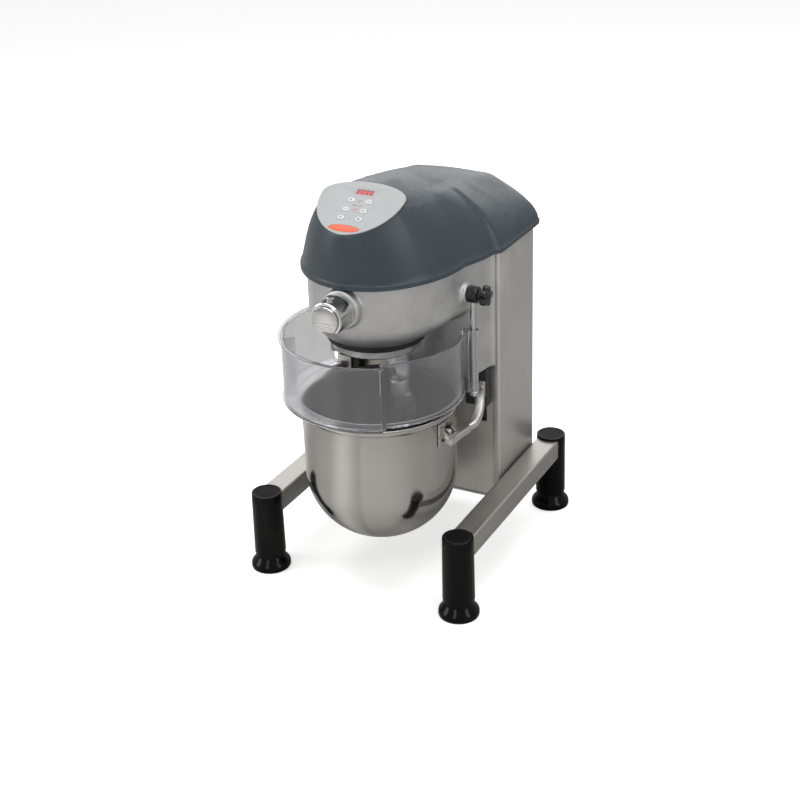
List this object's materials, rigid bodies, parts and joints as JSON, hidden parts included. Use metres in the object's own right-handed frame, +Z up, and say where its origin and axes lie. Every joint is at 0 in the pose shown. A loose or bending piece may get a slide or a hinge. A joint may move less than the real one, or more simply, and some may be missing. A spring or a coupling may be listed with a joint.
{
  "type": "planetary stand mixer",
  "caption": "Table-top planetary mixer on an H-shaped tube frame with a lifting bowl, a clear swinging bowl guard, a sloping key panel and a forward accessory hub.",
  "frame": {"origin": "on the table under the middle of the mixer, half way between the front of the hub cover and the back of the rear feet", "axes": "+Z up, -Y towards the front where the accessory hub points, +X towards the side that carries the guard hinge and the star knob"},
  "size_m": [0.415, 0.499, 0.6707],
  "materials": {
    "brushed_steel": "brushed stainless sheet and tube",
    "polished_steel": "polished stainless steel",
    "cast_alloy": "satin cast aluminium",
    "machined_steel": "machined steel",
    "black_plastic": "black moulded plastic",
    "cap_plastic": "dark grey matte plastic",
    "slate_plastic": "slate grey moulded plastic, satin",
    "panel_grey": "light grey printed membrane",
    "display_red": "dark red display window",
    "badge_orange": "orange printed badge, blank",
    "button_white": "white keys",
    "board_green": "circuit board",
    "motor_paint": "dark painted motor housing",
    "rubber_black": "black rubber",
    "cradle_black": "black coated steel",
    "clear_guard": "clear polycarbonate"
  },
  "bodies": {
    "mixer_frame": {"rail_left": "brushed_steel", "rail_right": "brushed_steel", "column_side_left": "brushed_steel", "column_side_right": "brushed_steel", "base_plate": "brushed_steel", "column_front_panel": "brushed_steel", "column_back_cover": "brushed_steel", "leg_post_front_left": "black_plastic", "leg_post_rear_left": "black_plastic", "leg_post_front_right": "black_plastic", "leg_post_rear_right": "black_plastic", "foot_front_left": "black_plastic", "foot_rear_left": "black_plastic", "foot_front_right": "black_plastic", "foot_rear_right": "black_plastic", "cable_gland": "black_plastic", "knob_boss": "black_plastic", "leg_cap_front_left": "cap_plastic", "leg_cap_rear_left": "cap_plastic", "leg_cap_front_right": "cap_plastic", "leg_cap_rear_right": "cap_plastic", "mast": "machined_steel", "hub_screw": "machined_steel", "ring_gear": "machined_steel", "shaft_bearing": "machined_steel", "hood": "slate_plastic", "control_panel": "panel_grey", "display_window": "display_red", "panel_badge": "badge_orange", "control_board": "board_green", "head_casting": "cast_alloy", "hub_housing": "polished_steel", "slide_rod_left": "polished_steel", "slide_rod_right": "polished_steel", "guard_rod": "polished_steel", "motor": "motor_paint", "seal_ring": "rubber_black", "drive_belt": "rubber_black"},
    "planet_drive": {"planet_carrier": "polished_steel", "main_shaft": "machined_steel", "head_pulley": "machined_steel"},
    "tool_spindle": {"planet_shaft": "polished_steel", "planet_pinion": "machined_steel", "dough_hook": "cast_alloy"},
    "motor_drive": {"motor_pulley": "machined_steel"},
    "hub_drive": {"hub_socket": "machined_steel"},
    "hub_plug": {"hub_cover": "polished_steel"},
    "guard": {"bowl_guard": "clear_guard"},
    "guard_knob": {"star_knob": "black_plastic"},
    "cradle": {"cradle_yoke": "cradle_black", "cradle_arm_left": "cast_alloy", "cradle_arm_right": "cast_alloy"},
    "mixing_bowl": {"bowl": "polished_steel"},
    "key_1": {"button_1": "button_white"},
    "key_2": {"button_2": "button_white"},
    "key_3": {"button_3": "button_white"},
    "key_4": {"button_4": "button_white"},
    "key_5": {"button_5": "button_white"},
    "key_6": {"button_6": "button_white"}
  },
  "joints": [
    {"name": "planet_spin", "type": "hinge", "parent": "mixer_frame", "child": "planet_drive", "pos_m": [0, -0.0895, 0.44], "axis": [0, 0, 1], "continuous": true},
    {"name": "tool_spin", "type": "hinge", "parent": "planet_drive", "child": "tool_spindle", "pos_m": [0.0375, -0.0895, 0.44], "axis": [0, 0, 1], "continuous": true},
    {"name": "motor_spin", "type": "hinge", "parent": "mixer_frame", "child": "motor_drive", "pos_m": [0, 0.1265, 0.57], "axis": [0, 0, 1], "continuous": true},
    {"name": "hub_spin", "type": "hinge", "parent": "mixer_frame", "child": "hub_drive", "pos_m": [0, -0.1675, 0.503], "axis": [0, 1, 0], "continuous": true},
    {"name": "hub_cover_pull", "type": "slide", "parent": "mixer_frame", "child": "hub_plug", "axis": [0, -1, 0], "range_m": [0, 0.03]},
    {"name": "guard_swing", "type": "hinge", "parent": "mixer_frame", "child": "guard", "pos_m": [0.139, -0.0275, 0.37], "axis": [0, 0, 1], "range_deg": [0, 100]},
    {"name": "star_knob_turn", "type": "hinge", "parent": "mixer_frame", "child": "guard_knob", "pos_m": [0.16, -0.0275, 0.487], "axis": [1, 0, 0], "range_deg": [0, 360]},
    {"name": "bowl_lift", "type": "slide", "parent": "mixer_frame", "child": "cradle", "axis": [0, 0, -1], "range_m": [0, 0.05]},
    {"name": "bowl_lift_off", "type": "slide", "parent": "cradle", "child": "mixing_bowl", "axis": [0, 0, 1], "range_m": [0, 0.008]},
    {"name": "button_1_press", "type": "slide", "parent": "mixer_frame", "child": "key_1", "axis": [0, 0.4462, -0.8949], "range_m": [0, 0.0005], "stiffness_N_per_m": 2500},
    {"name": "button_2_press", "type": "slide", "parent": "mixer_frame", "child": "key_2", "axis": [0, 0.4462, -0.8949], "range_m": [0, 0.0005], "stiffness_N_per_m": 2500},
    {"name": "button_3_press", "type": "slide", "parent": "mixer_frame", "child": "key_3", "axis": [0, 0.4462, -0.8949], "range_m": [0, 0.0005], "stiffness_N_per_m": 2500},
    {"name": "button_4_press", "type": "slide", "parent": "mixer_frame", "child": "key_4", "axis": [0, 0.4462, -0.8949], "range_m": [0, 0.0005], "stiffness_N_per_m": 2500},
    {"name": "button_5_press", "type": "slide", "parent": "mixer_frame", "child": "key_5", "axis": [0, 0.4462, -0.8949], "range_m": [0, 0.0005], "stiffness_N_per_m": 2500},
    {"name": "button_6_press", "type": "slide", "parent": "mixer_frame", "child": "key_6", "axis": [0, 0.4462, -0.8949], "range_m": [0, 0.0005], "stiffness_N_per_m": 2500}
  ],
  "couplings": [
    {"joint": "tool_spin", "follows": "planet_spin", "ratio": -3.1429},
    {"joint": "motor_spin", "follows": "planet_spin", "ratio": 2.5833},
    {"joint": "hub_spin", "follows": "planet_spin", "ratio": 1}
  ]
}
